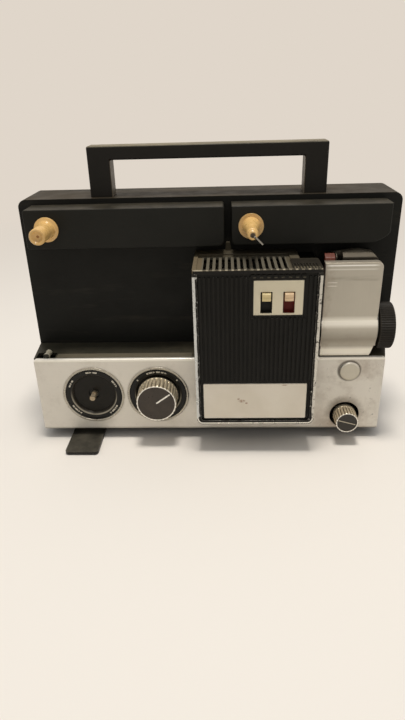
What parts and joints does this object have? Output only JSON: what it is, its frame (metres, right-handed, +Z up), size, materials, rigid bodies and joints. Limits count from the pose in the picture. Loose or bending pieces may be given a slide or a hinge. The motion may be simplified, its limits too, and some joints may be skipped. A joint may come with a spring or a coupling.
{
  "type": "movie projector",
  "caption": "Compact silent film projector, folded up: louvred lamp cover, gate door, focus ring, dials, folding reel arm, carrying handle and swing-out stabiliser foot.",
  "frame": {"origin": "middle of the bounding box at the surface that the feet stand on", "axes": "+X along the case, towards the focus ring; +Y back from the front panel; +Z up"},
  "size_m": [0.291, 0.105, 0.2306],
  "materials": {
    "silver_panel": "satin",
    "silver_door": "satin",
    "silver_trim": "satin",
    "black_shell": "textured",
    "bar_plastic": "satin",
    "deck_grey": "satin",
    "cover_black": "satin",
    "vent_grey": "matte",
    "handle_black": "satin",
    "cream_plate": "satin",
    "cream_spindle": "satin",
    "ivory_cap": "gloss",
    "pink_cap": "gloss",
    "dial_black": "satin",
    "knob_silver": "turned",
    "button_silver": "satin",
    "ring_rubber": "matte",
    "foot_rubber": "matte",
    "red_lever": "satin",
    "guide_grey": "satin",
    "black_metal": "satin",
    "bright_steel": "polished",
    "zinc_steel": "zinc plated",
    "glass_clear": "polished",
    "glass_lamp": "clear",
    "mirror_face": "polished",
    "ceramic": "matte",
    "belt_rubber": "matte",
    "white_plastic": "satin",
    "coil_brown": "satin",
    "die_cast": "cast"
  },
  "bodies": {
    "case": {"front_panel": "silver_panel", "deck": "deck_grey", "body_shell": "black_shell", "rear_cover": "black_shell", "case_screws": "zinc_steel", "base_plate": "zinc_steel", "feet": "foot_rubber", "takeup_housing": "bar_plastic", "takeup_belt": "belt_rubber", "arm_pin": "zinc_steel", "carry_handle": "handle_black", "cover_frame": "silver_trim", "lamp_cover": "cover_black", "cover_vent": "vent_grey", "name_plate": "cream_plate", "switch_plate": "cream_plate", "lamp_house": "zinc_steel", "lamp_socket": "ceramic", "lamp": "glass_lamp", "reflector": "mirror_face", "film_gate": "die_cast", "lens_mount": "die_cast", "door_pin": "zinc_steel", "film_guide": "guide_grey", "film_track": "deck_grey", "selector_dial": "dial_black", "speed_dial": "dial_black", "selector_switch": "dial_black", "speed_control": "dial_black", "motor_housing": "zinc_steel", "drive_belt": "belt_rubber", "chassis_plate": "die_cast", "transformer": "coil_brown", "mains_inlet": "handle_black"},
    "stabiliser_arm": {"stabiliser": "black_metal"},
    "takeup_reel_spindle": {"takeup_spindle": "cream_spindle"},
    "takeup_drive": {"takeup_pulley": "white_plastic"},
    "reel_arm": {"feed_arm": "bar_plastic", "arm_back": "bar_plastic", "arm_belt": "belt_rubber"},
    "rewind_drive": {"arm_pulley": "white_plastic"},
    "feed_reel_spindle": {"feed_spindle": "cream_spindle"},
    "reel_clip_wire": {"reel_clip": "bright_steel"},
    "lamp_switch": {"lamp_switch_cap": "ivory_cap"},
    "motor_switch": {"motor_switch_cap": "pink_cap"},
    "framing_mask": {"aperture_mask": "black_metal"},
    "loop_former": {"loop_lever": "red_lever"},
    "pull_down": {"claw": "zinc_steel"},
    "lens": {"lens_barrel": "black_metal", "lens_glass": "glass_clear"},
    "focus": {"focus_ring": "ring_rubber"},
    "door": {"gate_door": "silver_door"},
    "film_exit": {"exit_roller": "white_plastic"},
    "selector": {"selector_shaft": "zinc_steel"},
    "speed": {"speed_knob": "knob_silver"},
    "framing": {"framing_knob": "knob_silver"},
    "door_release": {"door_button": "button_silver"},
    "motor": {"motor_rotor": "zinc_steel"},
    "shutter_shaft": {"shutter": "black_metal"},
    "film_drive": {"sprocket": "white_plastic"}
  },
  "joints": [
    {"name": "stabiliser_turn", "type": "hinge", "parent": "case", "child": "stabiliser_arm", "pos_m": [-0.1057, 0.0135, 0.002], "axis": [0, 0, 1], "range_deg": [0, 90]},
    {"name": "takeup_spindle_spin", "type": "hinge", "parent": "case", "child": "takeup_reel_spindle", "pos_m": [-0.1195, -0.0138, 0.17565], "axis": [0, 1, 0], "continuous": true},
    {"name": "takeup_drive_spin", "type": "hinge", "parent": "case", "child": "takeup_drive", "pos_m": [-0.1195, 0.046, 0.17565], "axis": [0, 1, 0], "continuous": true},
    {"name": "reel_arm_fold", "type": "hinge", "parent": "case", "child": "reel_arm", "pos_m": [0.1193, 0.0035, 0.17565], "axis": [0, 1, 0], "range_deg": [0, 135]},
    {"name": "rewind_drive_spin", "type": "hinge", "parent": "reel_arm", "child": "rewind_drive", "pos_m": [0.1193, -0.0065, 0.17565], "axis": [0, 1, 0], "continuous": true},
    {"name": "feed_spindle_spin", "type": "hinge", "parent": "reel_arm", "child": "feed_reel_spindle", "pos_m": [0.0321, -0.0138, 0.17565], "axis": [0, 1, 0], "continuous": true},
    {"name": "reel_clip_fold", "type": "hinge", "parent": "feed_reel_spindle", "child": "reel_clip_wire", "pos_m": [0.03342, -0.0404, 0.17428], "axis": [-0.7193, 0, -0.6947], "range_deg": [0, 90]},
    {"name": "lamp_switch_slide", "type": "slide", "parent": "case", "child": "lamp_switch", "axis": [0, 0, -1], "range_m": [0, 0.009]},
    {"name": "motor_switch_slide", "type": "slide", "parent": "case", "child": "motor_switch", "axis": [0, 0, -1], "range_m": [0, 0.009]},
    {"name": "mask_shift", "type": "slide", "parent": "case", "child": "framing_mask", "axis": [0, 0, 1], "range_m": [-0.0008, 0.0008]},
    {"name": "loop_former_press", "type": "slide", "parent": "case", "child": "loop_former", "axis": [0, 0, -1], "range_m": [0, 0.003], "stiffness_N_per_m": 100},
    {"name": "claw_stroke", "type": "slide", "parent": "case", "child": "pull_down", "axis": [0, 0, 1], "range_m": [-0.0021, 0.0021]},
    {"name": "lens_shift", "type": "slide", "parent": "case", "child": "lens", "axis": [1, 0, 0], "range_m": [-0.0015, 0.0015]},
    {"name": "focus_turn", "type": "hinge", "parent": "case", "child": "focus", "pos_m": [0.1348, -0.0135, 0.096], "axis": [1, 0, 0], "range_deg": [-90, 90]},
    {"name": "door_swing", "type": "hinge", "parent": "case", "child": "door", "pos_m": [0.0883, -0.0231, 0.109], "axis": [0, 0, -1], "range_deg": [0, 90]},
    {"name": "exit_roller_spin", "type": "hinge", "parent": "case", "child": "film_exit", "pos_m": [-0.132, -0.0182, 0.0753], "axis": [0, 1, 0], "continuous": true},
    {"name": "selector_turn", "type": "hinge", "parent": "case", "child": "selector", "pos_m": [-0.0963, -0.0265, 0.0418], "axis": [0, 1, 0], "range_deg": [-150, 150]},
    {"name": "speed_turn", "type": "hinge", "parent": "case", "child": "speed", "pos_m": [-0.043, -0.0265, 0.0418], "axis": [0, 1, 0], "range_deg": [-135, 135]},
    {"name": "framing_turn", "type": "hinge", "parent": "case", "child": "framing", "pos_m": [0.1097, -0.0265, 0.0219], "axis": [0, 1, 0], "range_deg": [-60, 60]},
    {"name": "door_release_press", "type": "slide", "parent": "case", "child": "door_release", "axis": [0, 1, 0], "range_m": [0, 0.003], "stiffness_N_per_m": 200},
    {"name": "motor_spin", "type": "hinge", "parent": "case", "child": "motor", "pos_m": [0.0308, 0.029, 0.164], "axis": [1, 0, 0], "continuous": true},
    {"name": "shutter_spin", "type": "hinge", "parent": "case", "child": "shutter_shaft", "pos_m": [0.0838, 0.013, 0.096], "axis": [1, 0, 0], "continuous": true},
    {"name": "sprocket_spin", "type": "hinge", "parent": "case", "child": "film_drive", "pos_m": [0.1098, -0.0135, 0.067], "axis": [0, 1, 0], "continuous": true}
  ],
  "couplings": [
    {"joint": "shutter_spin", "follows": "motor_spin", "ratio": 0.33649},
    {"joint": "sprocket_spin", "follows": "motor_spin", "ratio": 0.021031},
    {"joint": "takeup_drive_spin", "follows": "motor_spin", "ratio": 0.010976},
    {"joint": "feed_spindle_spin", "follows": "rewind_drive_spin", "ratio": 1.4396},
    {"joint": "framing_turn", "follows": "mask_shift", "rad_per_m": 1308.9},
    {"joint": "focus_turn", "follows": "lens_shift", "rad_per_m": 1047}
  ]
}
